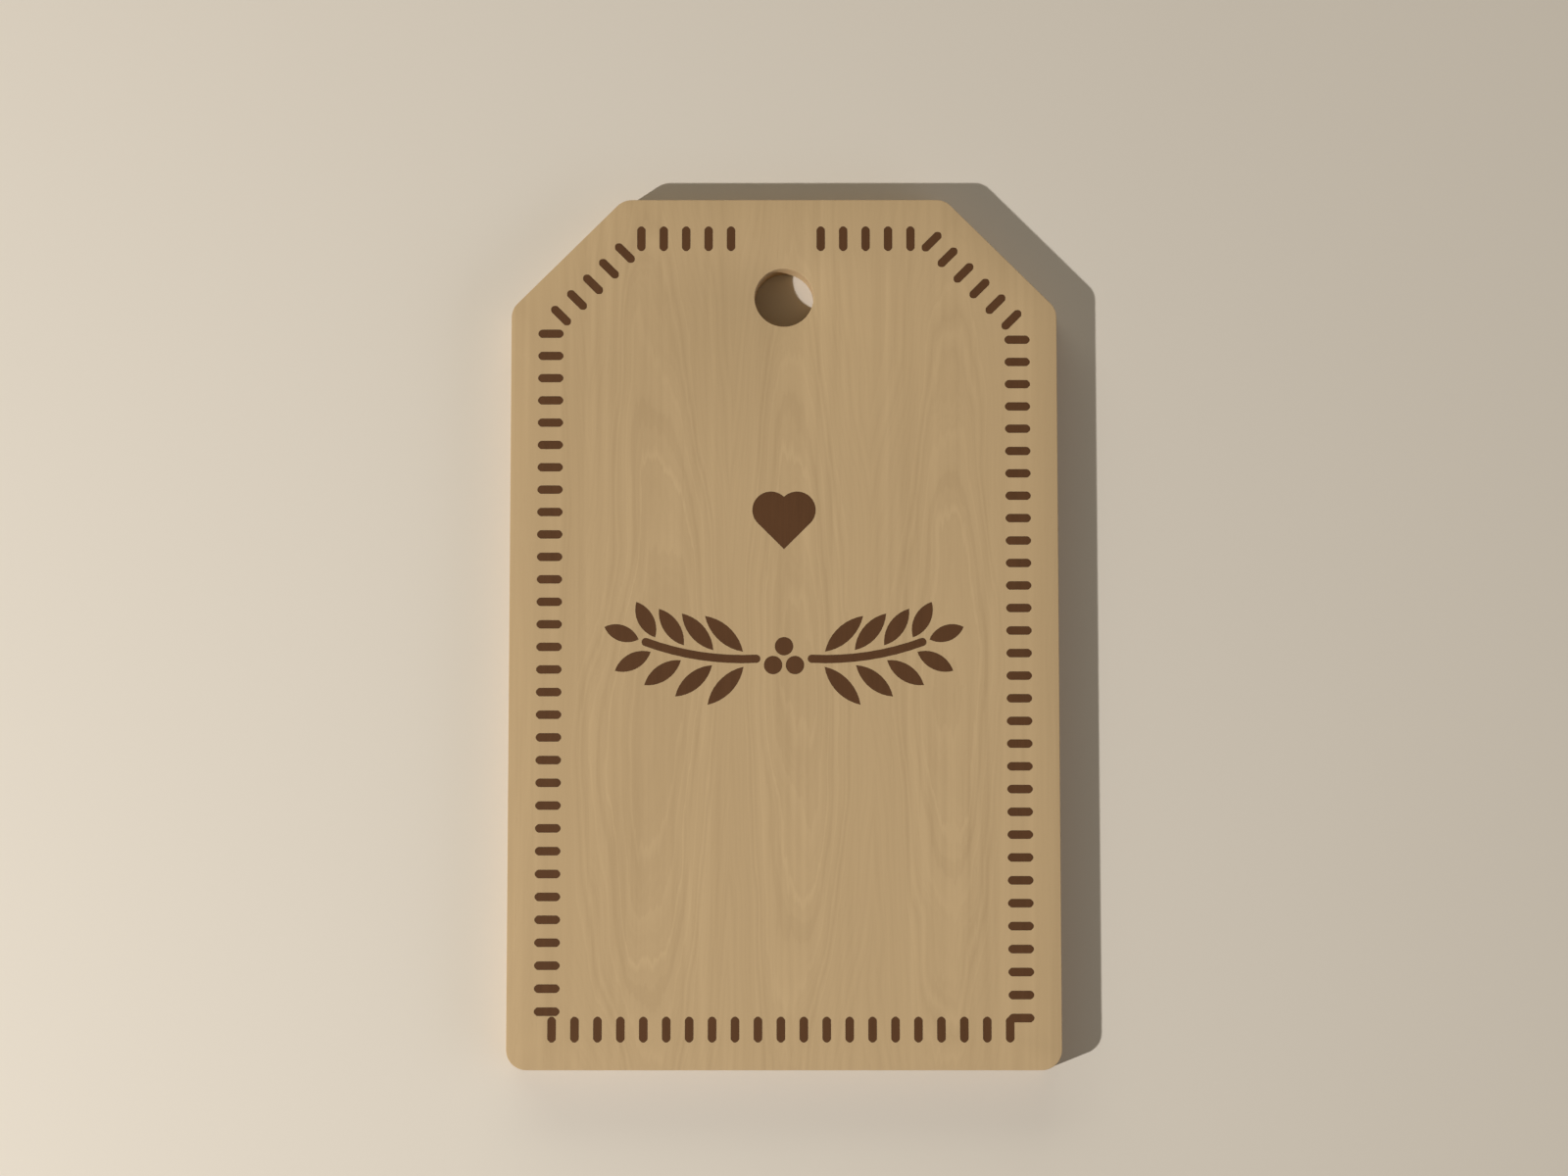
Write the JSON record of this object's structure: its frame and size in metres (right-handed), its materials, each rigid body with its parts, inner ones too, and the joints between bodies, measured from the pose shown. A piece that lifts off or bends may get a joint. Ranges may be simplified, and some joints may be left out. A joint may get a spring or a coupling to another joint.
{
  "type": "gift tag",
  "caption": "Flat wooden gift tag with cut-off top corners, a round hanging hole and dark inlays: a stitched border, a heart and a leaf sprig.",
  "frame": {"origin": "centre of the flat back, which rests on the surface", "axes": "+Z out of the inlaid face, +Y along the tag towards the hanging hole, +X across the tag"},
  "size_m": [0.049, 0.078, 0.003],
  "materials": {
    "face_wood": "sanded, unvarnished",
    "core_wood": "cut edge",
    "dark_wood": "sanded flush, matte"
  },
  "bodies": {
    "root": {"face_veneer": "face_wood", "core_ply": "core_wood", "back_veneer": "face_wood", "stitches_top_left": "dark_wood", "stitches_top_right": "dark_wood", "stitches_left_shoulder": "dark_wood", "stitches_right_shoulder": "dark_wood", "stitches_left_side": "dark_wood", "stitches_right_side": "dark_wood", "stitches_bottom": "dark_wood", "heart": "dark_wood", "sprig_berries": "dark_wood", "sprig_left_stem": "dark_wood", "sprig_left_leaves": "dark_wood", "sprig_right_stem": "dark_wood", "sprig_right_leaves": "dark_wood"}
  },
  "joints": []
}
